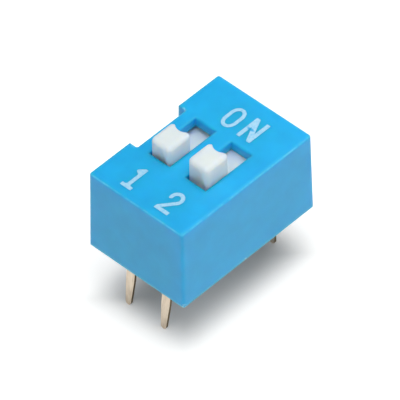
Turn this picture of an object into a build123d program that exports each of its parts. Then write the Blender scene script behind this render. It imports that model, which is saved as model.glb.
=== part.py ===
from build123d import *
import os
from math import hypot

# A slide DIP switch for a printed circuit board, in millimetres.
# X runs along the row of positions, +Y is the ON side and +Z is up. The origin is the middle of
# the plane that seats on the board, so the pins reach below it.

# Board grid
positions = 2
pitch = 2.54
row_spacing = 7.62

# Cover: a shell that is open at the bottom, with one lane for each slider
end_margin = 0.84
row_margin = 1.14
top_wall = 0.58
end_wall = 0.70
lane_rib = 0.64
seat_ledge = 0.20
cover_draft = 1.0
corner_radius = 0.14
top_round_share = 0.70
notch_depth = 0.52
notch_length = 3.46

# Slots in the top, and the knobs that stand in them. A knob is scooped straight down on the ON
# side. On the number side it has a hollow that starts below its top and deepens towards the slot.
slot_width = 1.46
travel = 1.69
knob_length = 1.72
knob_rise = 1.31
knob_draft = 0.3
knob_corner = 0.28
knob_top_round = 0.24
scoop_depth = 0.27
scoop_round = 0.07
horn_width = 0.19
hollow_radius = 1.00
hollow_start = 0.17
hollow_depth = 0.19
second_lag = 0.10

# Slider below the top: a plate that closes the slot, and a block that carries the leaf
plate_thick = 0.60
block_width = 1.20
block_drop = 1.11
stud_diameter = 0.40
stud_proud = 0.12

# Spring leaf: a flat back, two arms and two feet that curl up at their tips
leaf_thick = 0.10
leaf_width = 0.90
leaf_back = 1.00
arm_drop = 0.80
foot_reach = 1.50
foot_radius = 0.20
tip_share = 0.35
first_press = 0.22

# Base, and the resin that seals it from below
base_thick = 1.60
seal_thick = 0.30
seal_recess = 0.15

# Terminals: stamped strip, a wide pad on the base and a narrow pin below it
terminal_thick = 0.15
pad_width = 1.00
pad_lap = 0.25
on_pad_lap = 0.60
bend_radius = 0.30
pin_width = 0.58
pin_length = 3.55
number_splay = 0.48
on_splay = 0.22
splay_radius = 0.60
taper_length = 1.70
tip_width = 0.38

# Clearances
fit_clear = 0.03
lane_clear = 0.06
lane_end_clear = 0.10
knob_clear = 0.03
stop_clear = 0.03
run_clear = 0.05
contact_gap = 0.03
stud_clear = 0.02
overrun = 1.00

# Plan sizes that follow
body_width = positions * pitch + 2 * end_margin
body_length = row_spacing + 2 * row_margin
lane_width = pitch - lane_rib
lane_length = body_length - 2 * end_wall
pocket_width = positions * pitch - lane_rib + 2 * seat_ledge
pocket_length = lane_length + 2 * seat_ledge
slot_length = knob_length + travel + 2 * stop_clear
knob_width = slot_width - 2 * knob_clear
scoop_half = knob_width / 2 - horn_width
scoop_radius = (scoop_half**2 + scoop_depth**2) / (2 * scoop_depth)
plate_width = lane_width - 2 * lane_clear
plate_length = lane_length - travel - 2 * lane_end_clear

# Heights that follow, stacked from the board to the top of the cover
base_bottom = seal_recess + seal_thick
base_top = base_bottom + base_thick
arm_run = foot_reach - leaf_back / 2
arm_drops = [arm_drop - (first_press if i == 0 else 0) for i in range(positions)]
foot_lifts = [foot_radius * (hypot(arm_run, drop) / arm_run - 1) for drop in arm_drops]
leaf_unders = [base_top + contact_gap + drop - lift for drop, lift in zip(arm_drops, foot_lifts)]
slider_height = leaf_thick + block_drop + plate_thick
ceiling = max(leaf_unders) + slider_height + run_clear
body_height = ceiling + top_wall

# Places of the positions along the row, and of each slider at rest: the first stands at its OFF
# stop, with its leaf pressed down further, and the second a little short of its stop
position_x = [pitch * (i - (positions - 1) / 2) for i in range(positions)]
rest_y = [-travel / 2 + (second_lag if i == 1 else 0) for i in range(positions)]

# Inner ends of the pads, from the middle of the body. The pad on the number side stays under its
# foot all the way, and the pad on the ON side meets its foot only at the end of the travel.
number_pad_end = foot_reach - travel / 2 - pad_lap
on_pad_end = foot_reach + travel / 2 - on_pad_lap

os.makedirs("parts", exist_ok=True)

# Terminals: the bent strip, trimmed to the outline of its stamped blank
leg_face = row_spacing / 2 + terminal_thick / 2
shoulder = base_bottom + base_thick / 2
taper_top = taper_length - pin_length
tip_radius = tip_width / 2
terminals = []
for i, x in enumerate(position_x):
    for row, toward_y, pad_end, splay in (
        ("number", -1, number_pad_end, number_splay),
        ("on", 1, on_pad_end, on_splay),
    ):
        section = Plane(origin=(x, 0, 0), x_dir=(0, toward_y, 0), z_dir=(toward_y, 0, 0))
        with BuildPart() as terminal:
            with BuildSketch(section):
                with BuildLine():
                    outer_face = FilletPolyline(
                        (pad_end, base_top),
                        (leg_face, base_top),
                        (leg_face, seal_recess),
                        (leg_face + splay, -pin_length),
                        radius=[bend_radius, splay_radius],
                    )
                    offset(outer_face, amount=terminal_thick, side=Side.RIGHT)
                make_face()
            extrude(amount=pad_width / 2, both=True)
            with BuildSketch(Plane.XZ.shift_origin((x, 0, 0))):
                with BuildLine():
                    Polyline(
                        (0, base_top),
                        (pad_width / 2, base_top),
                        (pad_width / 2, shoulder),
                        (pin_width / 2, shoulder),
                        (pin_width / 2, taper_top),
                        (tip_radius, tip_radius - pin_length),
                    )
                    CenterArc((0, tip_radius - pin_length), tip_radius, 0, -90)
                    mirror(about=Plane.YZ)
                make_face()
            extrude(amount=body_length, both=True, mode=Mode.INTERSECT)
        terminal.part.label = f"terminal_{i + 1}_{row}_side"
        export_step(terminal.part, f"parts/{terminal.part.label}.step")
        terminals.append(terminal.part)

# Base: a plate moulded round the terminals, with their pads flush in its top
with BuildPart() as base:
    with BuildSketch(Plane.XY.offset(base_bottom)):
        Rectangle(pocket_width - 2 * fit_clear, pocket_length - 2 * fit_clear)
    extrude(amount=base_thick)
    add(terminals, mode=Mode.SUBTRACT)
base.part.label = "base"
export_step(base.part, "parts/base.step")

# Bottom seal: resin poured into the skirt under the base, round the pins
with BuildPart() as seal:
    with BuildSketch(Plane.XY.offset(seal_recess)):
        Rectangle(pocket_width, pocket_length)
    extrude(amount=seal_thick)
    add(terminals, mode=Mode.SUBTRACT)
seal.part.label = "bottom_seal"
export_step(seal.part, "parts/bottom_seal.step")

# Cover: the outline with its notch, drafted and rounded, then the pocket for the base, the lanes
# and the slots
with BuildPart() as cover:
    with BuildSketch():
        Rectangle(body_width, body_length)
        with Locations((-body_width / 2, 0)):
            Rectangle(2 * notch_depth, notch_length, mode=Mode.SUBTRACT)
    extrude(amount=body_height, taper=cover_draft)
    upright = edges().group_by(Axis.Z)[1].group_by(Axis.Y)
    fillet(upright[0] + upright[-1], radius=corner_radius)
    fillet(faces().sort_by(Axis.Z)[-1].edges(), radius=corner_radius * top_round_share)
    with BuildSketch():
        Rectangle(pocket_width, pocket_length)
    extrude(amount=base_top, mode=Mode.SUBTRACT)
    with BuildSketch(Plane.XY.offset(base_top)):
        with Locations(*[(x, 0) for x in position_x]):
            Rectangle(lane_width, lane_length)
    extrude(amount=ceiling - base_top, mode=Mode.SUBTRACT)
    with BuildSketch(Plane.XY.offset(ceiling)):
        with Locations(*[(x, 0) for x in position_x]):
            Rectangle(slot_width, slot_length)
    extrude(amount=top_wall + overrun, mode=Mode.SUBTRACT)
cover.part.label = "cover"
export_step(cover.part, "parts/cover.step")

# Sliders, and the spring leaf staked under each
knob_height = run_clear + top_wall + knob_rise
tip_run = tip_share * arm_run
tip_rise = tip_share * arm_drop
for i, (x, y, leaf_under) in enumerate(zip(position_x, rest_y, leaf_unders)):
    block_bottom = leaf_under + leaf_thick
    plate_bottom = block_bottom + block_drop
    plate_top = plate_bottom + plate_thick
    foot_z = leaf_under - arm_drops[i]
    with BuildPart() as knob:
        with BuildSketch(Plane.XY.offset(plate_top)):
            with Locations((x, y)):
                Rectangle(knob_width, knob_length)
        extrude(amount=knob_height, taper=knob_draft)
        fillet(edges().group_by(Axis.Z)[1], radius=knob_corner)
        fillet(faces().sort_by(Axis.Z)[-1].edges(), radius=knob_top_round)
        with BuildSketch(Plane.XY.offset(plate_top)):
            with Locations((x, y + knob_length / 2 + scoop_radius - scoop_depth)):
                Circle(scoop_radius)
        extrude(amount=knob_height, mode=Mode.SUBTRACT)
        scoop = faces().filter_by(GeomType.CYLINDER).sort_by(Axis.Y)[-1]
        scoop_rim = scoop.edges().sort_by(Axis.Z)[1:]
        fillet(scoop_rim, radius=scoop_round)
        number_face = (x, y - knob_length / 2, plate_top + knob_height - hollow_start)
        lean = (0, -hollow_depth, knob_rise - hollow_start)
        with BuildSketch(Plane(origin=number_face, x_dir=(1, 0, 0), z_dir=lean)):
            with Locations((0, -hollow_radius)):
                Circle(hollow_radius)
        extrude(amount=-2 * knob_height, mode=Mode.SUBTRACT)

    with BuildPart() as slider:
        with BuildSketch(Plane.XY.offset(plate_bottom)):
            with Locations((x, y)):
                Rectangle(plate_width, plate_length)
        extrude(amount=plate_thick)
        add(knob.part)
        with BuildSketch(Plane.XY.offset(block_bottom)):
            with Locations((x, y)):
                Rectangle(block_width, leaf_back)
        extrude(amount=block_drop)
        with BuildSketch(Plane.XY.offset(block_bottom)):
            with Locations((x, y)):
                Circle(stud_diameter / 2)
        extrude(amount=-leaf_thick - stud_proud)
    slider.part.label = f"slider_{i + 1}"
    export_step(slider.part, f"parts/{slider.part.label}.step")

    with BuildPart() as contact:
        with BuildSketch(Plane(origin=(x, y, 0), x_dir=(0, 1, 0), z_dir=(1, 0, 0))):
            with BuildLine():
                underside = FilletPolyline(
                    (-foot_reach - tip_run, foot_z + tip_rise),
                    (-foot_reach, foot_z),
                    (-leaf_back / 2, leaf_under),
                    (leaf_back / 2, leaf_under),
                    (foot_reach, foot_z),
                    (foot_reach + tip_run, foot_z + tip_rise),
                    radius=foot_radius,
                )
                offset(underside, amount=leaf_thick, side=Side.LEFT)
            make_face()
        extrude(amount=leaf_width / 2, both=True)
        with BuildSketch(Plane.XY.offset(leaf_under)):
            with Locations((x, y)):
                Circle(stud_diameter / 2 + stud_clear)
        extrude(amount=leaf_thick, both=True, mode=Mode.SUBTRACT)
    contact.part.label = f"contact_{i + 1}"
    export_step(contact.part, f"parts/{contact.part.label}.step")
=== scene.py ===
# %% [markdown]
# # A two-position DIP switch
# The object is a slide switch for a circuit board, about 7 by 10 mm: a blue moulded cover, two white
# sliders and four flat pins. Its solids come from the CAD model, in metres and already in place.
# This script adds what the CAD model leaves out: the finishes, the printed marks, the floor and the
# light.

# %% Load the solids
import bmesh
import bpy
from math import cos, radians, sin
from mathutils import Matrix, Quaternion, Vector


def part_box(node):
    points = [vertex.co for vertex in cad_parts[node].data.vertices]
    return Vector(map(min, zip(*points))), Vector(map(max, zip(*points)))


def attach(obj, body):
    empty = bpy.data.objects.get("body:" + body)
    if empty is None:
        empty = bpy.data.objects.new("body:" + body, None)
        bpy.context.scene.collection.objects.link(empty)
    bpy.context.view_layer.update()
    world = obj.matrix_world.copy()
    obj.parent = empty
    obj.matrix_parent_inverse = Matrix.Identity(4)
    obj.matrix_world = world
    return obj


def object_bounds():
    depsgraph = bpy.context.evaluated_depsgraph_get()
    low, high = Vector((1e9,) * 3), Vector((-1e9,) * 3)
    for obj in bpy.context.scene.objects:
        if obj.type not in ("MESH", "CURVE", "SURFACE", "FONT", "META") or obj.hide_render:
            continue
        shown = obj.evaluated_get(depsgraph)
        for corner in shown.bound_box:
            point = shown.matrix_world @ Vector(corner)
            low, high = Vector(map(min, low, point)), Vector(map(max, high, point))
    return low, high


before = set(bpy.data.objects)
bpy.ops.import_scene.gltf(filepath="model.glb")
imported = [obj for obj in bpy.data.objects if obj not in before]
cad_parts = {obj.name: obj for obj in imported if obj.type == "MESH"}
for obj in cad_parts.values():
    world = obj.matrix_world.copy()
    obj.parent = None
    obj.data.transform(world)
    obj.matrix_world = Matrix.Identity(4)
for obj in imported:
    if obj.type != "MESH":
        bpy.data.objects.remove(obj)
cad_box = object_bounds()
mm = 0.001
print("solids:", sorted(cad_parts))
print("box in mm:", [[round(v / mm, 3) for v in corner] for corner in cad_box])

# %% [markdown]
# ## Camera
# The part was seen from above its front corner, through a long lens, so its edges stay almost
# parallel. A camera can be turned by hand or by a constraint. Here its place follows from two angles
# and a distance, and a small roll keeps the part's slight lean in the frame.

# %% Camera
look_from = radians(44.222)
look_down = radians(46.219)
camera_roll = radians(-1.205)
camera_distance = 300 * mm
aim = Vector((0.239, -0.354, 2.297)) * mm
lens_mm = 521.75
sensor_mm = 36

back = Vector((
    sin(look_from) * cos(look_down),
    -cos(look_from) * cos(look_down),
    sin(look_down),
))
turn = (-back).to_track_quat("-Z", "Y")
camera = bpy.data.objects.new("camera", bpy.data.cameras.new("camera"))
camera.data.sensor_width = sensor_mm
camera.data.lens = lens_mm
camera.location = aim + back * camera_distance
camera.rotation_mode = "QUATERNION"
camera.rotation_quaternion = turn @ Quaternion((0, 0, 1), camera_roll)
bpy.context.scene.collection.objects.link(camera)
bpy.context.scene.camera = camera
bpy.context.scene.view_settings.view_transform = "Standard"
print("camera at", [round(v / mm, 1) for v in camera.location], "mm, lens", lens_mm, "mm")

# %% [markdown]
# ## Colours and nodes
# Colours are easiest to pick as sRGB hex values, as on a screen, but shaders work in linear light.
# One function turns the first into the second. A second one adds a shader node, and takes its
# settings and its inputs together: an input is either a plain value or a socket to link from.

# %% Helpers for materials
def linear(hex_colour):
    """Linear RGBA of an sRGB colour such as 14bbf5."""
    parts = [int(hex_colour[i:i + 2], 16) / 255 for i in (0, 2, 4)]
    return [p / 12.92 if p <= 0.04045 else ((p + 0.055) / 1.055) ** 2.4 for p in parts] + [1.0]


def add_node(tree, kind, inputs=None, **settings):
    """Adds a node with its settings, and links or sets its inputs."""
    made = tree.nodes.new(kind)
    for name, value in settings.items():
        setattr(made, name, value)
    for name, value in (inputs or {}).items():
        if isinstance(value, bpy.types.NodeSocket):
            tree.links.new(value, made.inputs[name])
        else:
            made.inputs[name].default_value = value
    return made


def new_material(name):
    """An empty material, with its tree, its surface socket and its Object coordinates."""
    material = bpy.data.materials.new(name)
    material.use_nodes = True
    tree = material.node_tree
    tree.nodes.clear()
    surface = add_node(tree, "ShaderNodeOutputMaterial").inputs["Surface"]
    place = add_node(tree, "ShaderNodeTexCoord").outputs["Object"]
    return material, tree, surface, place


print("blue in linear light:", [round(v, 3) for v in linear("14bbf5")])

# %% [markdown]
# ## Floor
# The part stands on a plain white table. A real table has an edge, but a sheet much wider than the
# part fills every view without one. It is one large square at the height of the pins' tips.

# %% Floor
floor_size = 1600 * mm
floor_height = cad_box[0].z

bm = bmesh.new()
bmesh.ops.create_grid(bm, x_segments=1, y_segments=1, size=floor_size / 2)
bmesh.ops.translate(bm, verts=bm.verts, vec=(0, 0, floor_height))
floor = bpy.data.objects.new("floor", bpy.data.meshes.new("floor"))
bm.to_mesh(floor.data)
bm.free()
bpy.context.scene.collection.objects.link(floor)
print("floor at", round(floor_height / mm, 2), "mm")

# %% [markdown]
# A floor that is only lit comes out light grey, so some light of its own is added where the camera,
# a gloss or a glass looks at it. Other rays don't see that light, so the part is lit no brighter for
# it. Spread evenly, it would also wash out the shadow. So it fades away under the part, over a few
# millimetres, and what is left there grows a little towards the front right corner. That fade paints
# the shadow's depth, its soft edge and its lighter front right corner.

# %% White paint and painted shadow
glow_inside = 0.03
glow_tilt = Vector((0.046, -0.016, 0)) / mm
glow_outside = 0.50
glow_start = -1.6 * mm
glow_end = 1.8 * mm
shade_middle = Vector((0.45, 0, 0)) * mm
shade_half = Vector((2.65, 4.65, 0)) * mm

# Painted board: matt, with no reflection. Its shadow under the part is partly painted by the fading
# glow below.
white_table, tree, surface, place = new_material("matt white painted board")
ray = add_node(tree, "ShaderNodeLightPath").outputs
seen = add_node(tree, "ShaderNodeMath", {
    0: ray["Is Camera Ray"],
    1: ray["Is Glossy Ray"],
}, operation="MAXIMUM")
seen = add_node(tree, "ShaderNodeMath", {
    0: seen.outputs[0],
    1: ray["Is Transmission Ray"],
}, operation="MAXIMUM")
# Painted shadow: a box round the part, where the floor's own light fades out and the floor darkens as
# under a shadow.
shifted = add_node(tree, "ShaderNodeVectorMath", {0: place, 1: shade_middle}, operation="SUBTRACT")
folded = add_node(tree, "ShaderNodeVectorMath", {0: shifted.outputs[0]}, operation="ABSOLUTE")
beyond = add_node(tree, "ShaderNodeVectorMath", {
    0: folded.outputs[0],
    1: shade_half,
}, operation="SUBTRACT")
beyond = add_node(tree, "ShaderNodeSeparateXYZ", {0: beyond.outputs[0]}).outputs
beyond = add_node(tree, "ShaderNodeMath", {0: beyond["X"], 1: beyond["Y"]}, operation="MAXIMUM")
# Painted shade: the glow left under the part grows towards the front right, so the shadow is painted
# lighter there.
lean = add_node(tree, "ShaderNodeVectorMath", {0: place, 1: glow_tilt}, operation="DOT_PRODUCT")
inside = add_node(tree, "ShaderNodeMath", {
    0: lean.outputs["Value"],
    1: glow_inside,
}, operation="ADD", use_clamp=True)
around = add_node(tree, "ShaderNodeMapRange", {
    "Value": beyond.outputs[0],
    "From Min": glow_start,
    "From Max": glow_end,
    "To Min": inside.outputs[0],
    "To Max": glow_outside,
}, interpolation_type="SMOOTHSTEP")
glow = add_node(tree, "ShaderNodeMath", {
    0: seen.outputs[0],
    1: around.outputs[0],
}, operation="MULTIPLY")
paint = add_node(tree, "ShaderNodeBsdfDiffuse", {"Color": linear("e2e2e0")})
light = add_node(tree, "ShaderNodeEmission", {"Strength": glow.outputs[0]})
both = add_node(tree, "ShaderNodeAddShader", {0: paint.outputs[0], 1: light.outputs[0]})
tree.links.new(both.outputs[0], surface)
floor.data.materials.append(white_table)
print(white_table.name, "on the floor")

# %% [markdown]
# ## Light
# A small product is usually shot in a white tent: pale walls all round and a dim ceiling. The world
# stands for both, as a grey that falls from the horizon up and is a little brighter on the right.
# The walls light the sides of the part.

# %% Tent
wall_light = 0.83
ceiling_light = 0.09
wall_top = sin(radians(12))
ceiling_edge = sin(radians(35))
rightward = (0.7, 0.7, 0)
right_gain = 1.25
left_gain = 0.80

world = bpy.data.worlds.new("light tent")
world.use_nodes = True
bpy.context.scene.world = world
tree = world.node_tree
tree.nodes.clear()
way = add_node(tree, "ShaderNodeTexCoord").outputs["Generated"]
up = add_node(tree, "ShaderNodeSeparateXYZ", {0: way}).outputs["Z"]
level = add_node(tree, "ShaderNodeMapRange", {
    "Value": up,
    "From Min": wall_top,
    "From Max": ceiling_edge,
    "To Min": wall_light,
    "To Max": ceiling_light,
}, interpolation_type="SMOOTHSTEP")
across = add_node(tree, "ShaderNodeVectorMath", {0: way, 1: rightward}, operation="DOT_PRODUCT")
gain = add_node(tree, "ShaderNodeMapRange", {
    "Value": across.outputs["Value"],
    "From Min": -1.0,
    "To Min": left_gain,
    "To Max": right_gain,
})
level = add_node(tree, "ShaderNodeMath", {
    0: level.outputs[0],
    1: gain.outputs[0],
}, operation="MULTIPLY")
sky = add_node(tree, "ShaderNodeBackground", {
    "Color": (1, 1, 1, 1),
    "Strength": level.outputs[0],
})
add_node(tree, "ShaderNodeOutputWorld", {"Surface": sky.outputs[0]})
print("walls", wall_light, "and ceiling", ceiling_light)

# %% [markdown]
# The top of the part gets most of its light from one large soft panel overhead, and a small panel
# behind fills the shade in the slots. Sun or point lamps would give hard shadows, so both are area
# lights.

# %% Panels
def soft_panel(name, place_mm, aim_mm, size_mm, watts):
    """A square area light that faces a point."""
    panel = bpy.data.objects.new(name, bpy.data.lights.new(name, "AREA"))
    panel.data.shape = "SQUARE"
    panel.data.size = size_mm * mm
    panel.data.energy = watts
    panel.location = Vector(place_mm) * mm
    panel.rotation_mode = "QUATERNION"
    panel.rotation_quaternion = (Vector(aim_mm) - Vector(place_mm)).to_track_quat("-Z", "Y")
    bpy.context.scene.collection.objects.link(panel)
    print(name, "at", place_mm, "mm,", watts, "W")


soft_panel("overhead panel", (18, -14, 150), aim_mm=(0, 0, 0), size_mm=110, watts=0.19)
soft_panel("back panel", (4, 15, 26), aim_mm=(0, 0, 5), size_mm=24, watts=0.0013)

# %% [markdown]
# ## Blue cover
# The cover is moulded in a glass-filled polyester, dyed through, and the dye is a little uneven where
# the melt flowed. The colour could be one flat value, but soft noise at the size of those flow marks
# looks more like a moulding. The rim of the top and the foot are painted a paler blue, in patches. The
# surface normal finds the upper rim, because it leans there, and is level or upright elsewhere. The
# lower rim is found by its height.

# %% Dye and pale rims
flow_size = 1.2 * mm
rim_patch_size = 0.5 * mm
foot_paleness = 0.8

# Polyester from a spark-eroded mould: a clear colour with a broad, soft highlight. Blue light
# travels a little way through it, so its edges are soft and the walls of its slots stay a clear blue.
cover_pbt, tree, surface, place = new_material("blue moulded polyester")
flow = add_node(tree, "ShaderNodeTexNoise", {"Vector": place, "Scale": 1 / flow_size, "Detail": 3.0})
dye = add_node(tree, "ShaderNodeMix", {
    0: flow.outputs["Fac"],
    6: linear("08a6de"),
    7: linear("14bbf5"),
}, data_type="RGBA")
facing = add_node(tree, "ShaderNodeNewGeometry").outputs["Normal"]
upward = add_node(tree, "ShaderNodeSeparateXYZ", {0: facing}).outputs["Z"]
off_side = add_node(tree, "ShaderNodeMapRange", {
    "Value": upward,
    "From Min": 0.1,
    "From Max": 0.4,
})
off_top = add_node(tree, "ShaderNodeMapRange", {
    "Value": upward,
    "From Min": 0.98,
    "From Max": 0.85,
})
rim = add_node(tree, "ShaderNodeMath", {
    0: off_side.outputs[0],
    1: off_top.outputs[0],
}, operation="MULTIPLY")
height = add_node(tree, "ShaderNodeSeparateXYZ", {0: place}).outputs["Z"]
foot = add_node(tree, "ShaderNodeMapRange", {
    "Value": height,
    "From Min": 0.10 * mm,
    "From Max": 0.04 * mm,
    "To Max": foot_paleness,
})
rim = add_node(tree, "ShaderNodeMath", {0: rim.outputs[0], 1: foot.outputs[0]}, operation="MAXIMUM")
rub = add_node(tree, "ShaderNodeTexNoise", {"Vector": place, "Scale": 1 / rim_patch_size, "Detail": 3.0})
rub = add_node(tree, "ShaderNodeMapRange", {
    "Value": rub.outputs["Fac"],
    "From Min": 0.3,
    "From Max": 0.7,
})
pale_rims = add_node(tree, "ShaderNodeMath", {0: rim.outputs[0], 1: rub.outputs[0]}, operation="MULTIPLY")
# The upper rim and the foot are painted a paler blue, in patches.
dye = add_node(tree, "ShaderNodeMix", {
    0: pale_rims.outputs[0],
    6: dye.outputs[2],
    7: linear("5cc8f6"),
}, data_type="RGBA")
print("flow marks", flow_size / mm, "mm, rubbed patches", rim_patch_size / mm, "mm")

# %% [markdown]
# A few corners were also knocked, and show pale scuffs. They could be painted into a texture, but a
# scuff is only a spot with a middle and a reach, so distance from its middle finds it, and fine noise
# breaks it up into scratches.

# %% Scuffs
scratch_size = 0.12 * mm
scuff_core_share = 0.3
scuffs_mm = (
    ((-2.90, 1.70, 5.26), 0.22),
    ((-2.95, -1.78, 5.2), 0.24),
    ((3.35, -4.93, 0), 0.28),
    ((3.38, -0.33, 0.02), 0.18),
)

scratches = add_node(tree, "ShaderNodeTexNoise", {
    "Vector": place,
    "Scale": 1 / scratch_size,
    "Detail": 2.0,
})
scratches = add_node(tree, "ShaderNodeMapRange", {
    "Value": scratches.outputs["Fac"],
    "From Min": 0.42,
    "From Max": 0.6,
})
for spot_mm, reach_mm in scuffs_mm:
    away = add_node(tree, "ShaderNodeVectorMath", {
        0: place,
        1: Vector(spot_mm) * mm,
    }, operation="DISTANCE")
    near = add_node(tree, "ShaderNodeMapRange", {
        "Value": away.outputs["Value"],
        "From Min": reach_mm * mm,
        "From Max": scuff_core_share * reach_mm * mm,
    })
    scuff = add_node(tree, "ShaderNodeMath", {
        0: near.outputs[0],
        1: scratches.outputs[0],
    }, operation="MULTIPLY")
    dye = add_node(tree, "ShaderNodeMix", {
        0: scuff.outputs[0],
        6: dye.outputs[2],
        7: linear("c4e8f8"),
    }, data_type="RGBA")
print(len(scuffs_mm), "scuffs on the cover")

# %% [markdown]
# Such plastic is semi-matt, because the mould's fine spark texture blurs reflections. A bump gives
# that texture. The solid's edges are rounded already, and a Bevel node blurs the shade across them a
# little further, as worn plastic does.

# %% Blue moulded polyester
# The spark texture is about 0.03 mm from bump to bump. It is drawn coarser here, so that it shows.
spark_size = 0.12 * mm
spark_depth = 0.01 * mm
edge_softness = 0.28 * mm

grain = add_node(tree, "ShaderNodeTexNoise", {
    "Vector": place,
    "Scale": 1 / spark_size,
    "Detail": 2.0,
})
soft_edges = add_node(tree, "ShaderNodeBevel", {"Radius": edge_softness}, samples=6)
dents = add_node(tree, "ShaderNodeBump", {
    "Normal": soft_edges.outputs[0],
    "Height": grain.outputs["Fac"],
    "Strength": 0.12,
    "Distance": spark_depth,
})
plastic = add_node(tree, "ShaderNodeBsdfPrincipled", {
    "Base Color": dye.outputs[2],
    "Roughness": 0.42,
    "IOR": 1.5,
    "Subsurface Weight": 0.8,
    "Subsurface Radius": (0.1, 0.6, 1.0),
    "Subsurface Scale": 0.8 * mm,
    "Normal": dents.outputs[0],
})
tree.links.new(plastic.outputs[0], surface)


def finish_nodes(material, *nodes):
    """Gives a material to solids from the CAD model."""
    for name in nodes:
        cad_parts[name].data.materials.clear()
        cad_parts[name].data.materials.append(material)
    print(material.name, "on", ", ".join(nodes))


finish_nodes(cover_pbt, "cover")

# %% [markdown]
# ## White sliders
# The sliders are moulded in natural polyester, with no dye. It is milky: light that goes in at the
# top comes out again at the sides, some 2 mm away, and red light goes further than blue. So the
# shaded sides stay pale and soft. A white paint could only copy one lighting, so the shader scatters
# the light under the surface.

# %% White moulded polyester
cloud_size = 0.8 * mm

# Undyed moulded polyester: milky white, satin, with faint clouds where the melt flowed.
slider_pbt, tree, surface, place = new_material("white moulded polyester")
clouds = add_node(tree, "ShaderNodeTexNoise", {
    "Vector": place,
    "Scale": 1 / cloud_size,
    "Detail": 2.0,
})
milk = add_node(tree, "ShaderNodeMix", {
    0: clouds.outputs["Fac"],
    6: linear("dbdfdf"),
    7: linear("e5e9e8"),
}, data_type="RGBA")
plastic = add_node(tree, "ShaderNodeBsdfPrincipled", {
    "Base Color": milk.outputs[2],
    "Roughness": 0.6,
    "IOR": 1.5,
    "Subsurface Weight": 1.0,
    "Subsurface Radius": (1.0, 0.75, 0.5),
    "Subsurface Scale": 2.0 * mm,
})
tree.links.new(plastic.outputs[0], surface)
finish_nodes(slider_pbt, "slider_1", "slider_2")

# %% [markdown]
# ## Base and seal
# Under the cover sits a dark base that holds the pins, sealed by a thin pour of epoxy resin. The base
# is a plain black moulding, and one soft noise is enough for its fibres.

# %% Black base
fibre_size = 0.2 * mm

# Glass-filled polyester, moulded: nearly black, with a faint grey speckle of fibres.
base_pbt, tree, surface, place = new_material("black glass-filled polyester")
fibres = add_node(tree, "ShaderNodeTexNoise", {
    "Vector": place,
    "Scale": 1 / fibre_size,
    "Detail": 3.0,
})
soot = add_node(tree, "ShaderNodeMix", {
    0: fibres.outputs["Fac"],
    6: linear("17181a"),
    7: linear("2b2c2f"),
}, data_type="RGBA")
plastic = add_node(tree, "ShaderNodeBsdfPrincipled", {
    "Base Color": soot.outputs[2],
    "Roughness": 0.55,
    "IOR": 1.55,
})
tree.links.new(plastic.outputs[0], surface)
finish_nodes(base_pbt, "base")

# %% [markdown]
# The resin is glossy and settles unevenly. Its surface could be modelled, but it swells by less than
# the thickness of the pins, so a slow bump does it.

# %% Dark resin
pool_size = 2.5 * mm
swell_depth = 0.2 * mm

# Epoxy resin, poured: a dark amber gloss that swells and sinks between the pins.
seal_resin, tree, surface, place = new_material("poured epoxy resin")
pool = add_node(tree, "ShaderNodeTexNoise", {"Vector": place, "Scale": 1 / pool_size, "Detail": 1.0})
swell = add_node(tree, "ShaderNodeBump", {
    "Height": pool.outputs["Fac"],
    "Strength": 0.5,
    "Distance": swell_depth,
})
amber = add_node(tree, "ShaderNodeMix", {
    0: pool.outputs["Fac"],
    6: linear("241a10"),
    7: linear("3d2c1a"),
}, data_type="RGBA")
resin = add_node(tree, "ShaderNodeBsdfPrincipled", {
    "Base Color": amber.outputs[2],
    "Roughness": 0.12,
    "IOR": 1.55,
    "Normal": swell.outputs[0],
})
tree.links.new(resin.outputs[0], surface)
finish_nodes(seal_resin, "bottom_seal")

# %% [markdown]
# ## Pins
# The pins are punched from plated brass strip. The plating on the two rolled faces is a pale warm
# metal with fine lines along the strip and dull stains. Both are noise, and a Mapping node draws them
# out along the pin.

# %% Plating
# The lines are drawn 0.05 mm apart, coarser than the rolls leave them, so that they show.
line_sizes_mm = (0.05, 0.4, 1.5)
stain_sizes_mm = (0.2, 0.2, 0.6)

# Brass strip, rolled, plated and punched: a pale warm sheen, and darker cut edges.
pin_brass, tree, surface, place = new_material("plated brass strip")
stretched = add_node(tree, "ShaderNodeMapping", {
    "Vector": place,
    "Scale": [1 / (size * mm) for size in line_sizes_mm],
})
lines = add_node(tree, "ShaderNodeTexNoise", {
    "Vector": stretched.outputs[0],
    "Scale": 1.0,
    "Detail": 2.0,
})
plating = add_node(tree, "ShaderNodeMix", {
    0: lines.outputs["Fac"],
    6: linear("d1bfa9"),
    7: linear("e6d8c4"),
}, data_type="RGBA")
drawn_out = add_node(tree, "ShaderNodeMapping", {
    "Vector": place,
    "Scale": [1 / (size * mm) for size in stain_sizes_mm],
})
stain = add_node(tree, "ShaderNodeTexNoise", {
    "Vector": drawn_out.outputs[0],
    "Scale": 1.0,
    "Detail": 3.0,
})
stain = add_node(tree, "ShaderNodeMapRange", {
    "Value": stain.outputs["Fac"],
    "From Min": 0.45,
    "From Max": 0.75,
    "To Max": 0.6,
})
plating = add_node(tree, "ShaderNodeMix", {
    0: stain.outputs[0],
    6: plating.outputs[2],
    7: linear("b3a18c"),
}, data_type="RGBA")
print("lines", line_sizes_mm, "mm, stains", stain_sizes_mm, "mm")

# %% [markdown]
# The punch cuts through the plating, so the narrow edges show darker brass. Two materials could share
# the mesh, but a cut edge faces along the row of positions, so the surface normal can tell it from a
# rolled face within one material.

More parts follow.
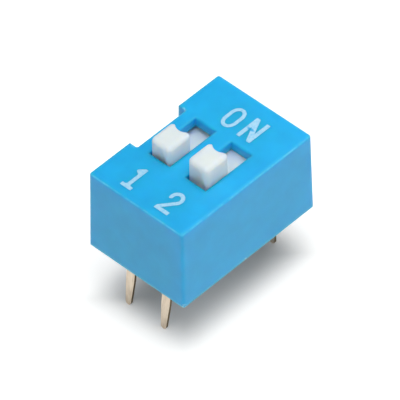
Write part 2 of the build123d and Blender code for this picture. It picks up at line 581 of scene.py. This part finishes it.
# %% Plated brass strip
facing = add_node(tree, "ShaderNodeNewGeometry").outputs["Normal"]
along_row = add_node(tree, "ShaderNodeSeparateXYZ", {0: facing}).outputs["X"]
turned = add_node(tree, "ShaderNodeMath", {0: along_row}, operation="ABSOLUTE")
cut = add_node(tree, "ShaderNodeMapRange", {
    "Value": turned.outputs[0],
    "From Min": 0.6,
    "From Max": 0.8,
})
colour = add_node(tree, "ShaderNodeMix", {
    0: cut.outputs[0],
    6: plating.outputs[2],
    7: linear("76674f"),
}, data_type="RGBA")
sheen = add_node(tree, "ShaderNodeMapRange", {
    "Value": cut.outputs[0],
    "To Min": 0.34,
    "To Max": 0.5,
})
metal = add_node(tree, "ShaderNodeBsdfPrincipled", {
    "Base Color": colour.outputs[2],
    "Metallic": 1.0,
    "Roughness": sheen.outputs[0],
})
tree.links.new(metal.outputs[0], surface)
finish_nodes(pin_brass, *sorted(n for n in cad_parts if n.startswith("terminal")))

# %% [markdown]
# ## Spring leaves
# Each slider carries a bowed leaf that wipes over the terminals inside. Nothing of it shows from
# outside, but the part is also kept in pieces, so the leaf gets its own finish: gold-plated bronze.

# %% Gold-plated spring bronze
wipe_size = 0.3 * mm

# Spring bronze, rolled and gold-plated: a clean yellow sheen, a little uneven where it wipes.
leaf_bronze, tree, surface, place = new_material("gold-plated spring bronze")
wipe = add_node(tree, "ShaderNodeTexNoise", {"Vector": place, "Scale": 1 / wipe_size, "Detail": 2.0})
gold = add_node(tree, "ShaderNodeMix", {
    0: wipe.outputs["Fac"],
    6: linear("cda04e"),
    7: linear("e3bd6c"),
}, data_type="RGBA")
metal = add_node(tree, "ShaderNodeBsdfPrincipled", {
    "Base Color": gold.outputs[2],
    "Metallic": 1.0,
    "Roughness": 0.28,
})
tree.links.new(metal.outputs[0], surface)
finish_nodes(leaf_bronze, "contact_1", "contact_2")

# %% [markdown]
# ## Printed marks
# The position numbers and ON are printed on the top in thin white ink, which the blue shows through.
# The N is rubbed almost bare across its middle. Real ink is partly clear. Here the blue is mixed into
# its colour instead, which looks the same and bakes well.

# %% Pad-print ink
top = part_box("cover")[1].z / mm
patch_size = 0.16 * mm
rub_middle = Vector((0.69, 3.04, top)) * mm
rub_reach = Vector((0.30, 0.12, 1.0)) * mm

# Pad-print ink: a thin satin film, patchy where the pad left less of it.
ink, tree, surface, place = new_material("thin white pad-print ink")
thin = add_node(tree, "ShaderNodeTexNoise", {"Vector": place, "Scale": 1 / patch_size, "Detail": 3.0})
cover_through = add_node(tree, "ShaderNodeMapRange", {
    "Value": thin.outputs["Fac"],
    "From Min": 0.42,
    "From Max": 0.75,
    "To Max": 0.75,
})
ink_colour = add_node(tree, "ShaderNodeMix", {
    0: cover_through.outputs[0],
    6: linear("a9d8f2"),
    7: linear("6cc2ee"),
}, data_type="RGBA")
rub = add_node(tree, "ShaderNodeVectorMath", {0: place, 1: rub_middle}, operation="SUBTRACT")
rub = add_node(tree, "ShaderNodeVectorMath", {0: rub.outputs[0], 1: rub_reach}, operation="DIVIDE")
rub = add_node(tree, "ShaderNodeVectorMath", {0: rub.outputs[0]}, operation="LENGTH")
rub = add_node(tree, "ShaderNodeMapRange", {
    "Value": rub.outputs["Value"],
    "From Min": 1.0,
    "From Max": 0.5,
    "To Max": 0.9,
})
ink_colour = add_node(tree, "ShaderNodeMix", {
    0: rub.outputs[0],
    6: ink_colour.outputs[2],
    7: linear("18abe9"),
}, data_type="RGBA")
paint = add_node(tree, "ShaderNodeBsdfPrincipled", {
    "Base Color": ink_colour.outputs[2],
    "Roughness": 0.5,
    "IOR": 1.5,
})
tree.links.new(paint.outputs[0], surface)
print(ink.name, "for the top at", round(top, 3), "mm")

# %% [markdown]
# Text objects could draw the marks, but these have plain strokes of one pen width, so each is built
# as a flat shape, in millimetres on the top's own plan. One function thickens it to a film of ink that
# dips a little way into the top, so that no gap shows under it.

# %% Ink film
ink_rise = 0.012
ink_sink = 0.004


def ink_film(name, flat):
    """Thickens a flat shape to a film on the cover's top, and lets it ride on the housing."""
    raised = bmesh.ops.extrude_face_region(flat, geom=flat.faces[:])["geom"]
    raised = [part for part in raised if isinstance(part, bmesh.types.BMVert)]
    bmesh.ops.translate(flat, verts=flat.verts, vec=(0, 0, top - ink_sink))
    bmesh.ops.translate(flat, verts=raised, vec=(0, 0, ink_rise + ink_sink))
    bmesh.ops.recalc_face_normals(flat, faces=flat.faces[:])
    bmesh.ops.scale(flat, verts=flat.verts, vec=(mm, mm, mm))
    mark = bpy.data.objects.new(name, bpy.data.meshes.new(name))
    flat.to_mesh(mark.data)
    flat.free()
    mark.data.materials.append(ink)
    bpy.context.scene.collection.objects.link(mark)
    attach(mark, "housing")
    size_mm = [round(v / mm, 2) for v in mark.dimensions]
    print(name, len(mark.data.polygons), "faces,", size_mm, "mm")


print("film", round(ink_rise + ink_sink, 3), "mm thick")

# %% [markdown]
# The 1 and the N are straight strokes, so each is one outline of a few corners. A small vertex bevel
# rounds the corners, as a printing pad does.

# %% Straight marks: 1 and N
def outline(corners):
    """A flat face through corners given in millimetres."""
    flat = bmesh.new()
    flat.faces.new([flat.verts.new((x, y, 0)) for x, y in corners])
    return flat


def soften(flat, verts, radius, segments=3):
    """Rounds corners of a flat shape."""
    bmesh.ops.bevel(
        flat,
        geom=verts,
        offset=radius,
        affect="VERTICES",
        segments=segments,
        profile=0.5,
        material=-1,
    )


one = outline([
    (-1.60, -4.32), (-0.87, -4.32), (-0.87, -4.10), (-1.07, -4.10), (-1.135, -4.02),
    (-1.135, -2.68), (-1.30, -2.68), (-1.60, -2.98), (-1.59, -3.07), (-1.35, -3.22),
    (-1.35, -4.02), (-1.41, -4.10), (-1.60, -4.10),
])
soften(one, one.verts[:], radius=0.03)
ink_film("mark_1", one)

enn = outline([
    (0.375, 2.27), (0.61, 2.27), (0.61, 3.24), (1.07, 2.27), (1.31, 2.27),
    (1.31, 3.89), (1.075, 3.89), (1.075, 2.90), (0.61, 3.90), (0.375, 3.90),
])
soften(enn, enn.verts[:], radius=0.04)
ink_film("mark_N", enn)

# %% [markdown]
# The O is a rounded rectangle, drawn out a little along its height, with an inset: the inner face is
# taken out, and one pen width is left.

# %% Round mark: O
ring_middle = Vector((-0.535, 3.07, 0))
ring_half = Vector((0.447, 0.62, 1))
ring_round = 0.44
ring_stretch = 1.29
ring_pen = 0.205

ring = bmesh.new()
bmesh.ops.create_grid(ring, x_segments=1, y_segments=1, size=1.0)
bmesh.ops.scale(ring, verts=ring.verts, vec=ring_half)
soften(ring, ring.verts[:], radius=ring_round, segments=8)
bmesh.ops.scale(ring, verts=ring.verts, vec=(1, ring_stretch, 1))
bmesh.ops.translate(ring, verts=ring.verts, vec=ring_middle)
hole = ring.faces[:]
bmesh.ops.inset_region(
    ring,
    faces=hole,
    thickness=ring_pen,
    use_boundary=True,
    use_even_offset=True,
)
bmesh.ops.delete(ring, geom=hole, context="FACES")
ink_film("mark_O", ring)

# %% [markdown]
# The 2 is drawn as a pen would draw it: a short edge as wide as the stroke is spun round the bowl and
# then pushed straight down to the left. The bowl is a little taller than wide, so the stroke is
# stretched afterwards.

# %% Curved mark: the stroke of the 2
bowl_middle = Vector((1.30, -3.15, 0))
bowl_radius = 0.313
bowl_stretch = 1.12
bowl_start = radians(210)
bowl_turn = radians(252)
bowl_pen = 0.21
run_length = 1.5

two = bmesh.new()
start = Vector((cos(bowl_start), sin(bowl_start), 0))
tips = [
    two.verts.new(bowl_middle + start * (bowl_radius + side * bowl_pen / 2))
    for side in (1, -1)
]
spun = bmesh.ops.spin(
    two,
    geom=[*tips, two.edges.new(tips)],
    cent=bowl_middle,
    axis=(0, 0, -1),
    angle=bowl_turn,
    steps=24,
)
last = [part for part in spun["geom_last"] if isinstance(part, bmesh.types.BMEdge)]
run = bmesh.ops.extrude_edge_only(two, edges=last)["geom"]
leave = bowl_start - bowl_turn
bmesh.ops.translate(
    two,
    verts=[part for part in run if isinstance(part, bmesh.types.BMVert)],
    vec=Vector((sin(leave), -cos(leave), 0)) * run_length,
)
bmesh.ops.scale(
    two,
    verts=two.verts,
    vec=(1, bowl_stretch, 1),
    space=Matrix.Translation(-bowl_middle),
)
print("stroke of", len(two.faces), "faces")

# %% [markdown]
# The stroke runs on too far. A cut plane trims it at the foot, which is one more face, joined to the
# two corners that the cut leaves.

# %% Curved mark: the foot of the 2
foot_left = 0.80
foot_right = 1.72
foot_top = -4.10
foot_bottom = -4.335
tolerance = 1e-5

bmesh.ops.bisect_plane(
    two,
    geom=two.verts[:] + two.edges[:] + two.faces[:],
    plane_co=(0, foot_top, 0),
    plane_no=(0, -1, 0),
    clear_outer=True,
)
joint = [v for v in two.verts if abs(v.co.y - foot_top) < tolerance]
joint.sort(key=lambda v: v.co.x)
foot = [
    two.verts.new((foot_right, foot_top, 0)),
    two.verts.new((foot_right, foot_bottom, 0)),
    two.verts.new((foot_left, foot_bottom, 0)),
]
two.faces.new([*joint, *foot])
soften(two, tips, radius=0.10)
soften(two, foot, radius=0.03)
ink_film("mark_2", two)
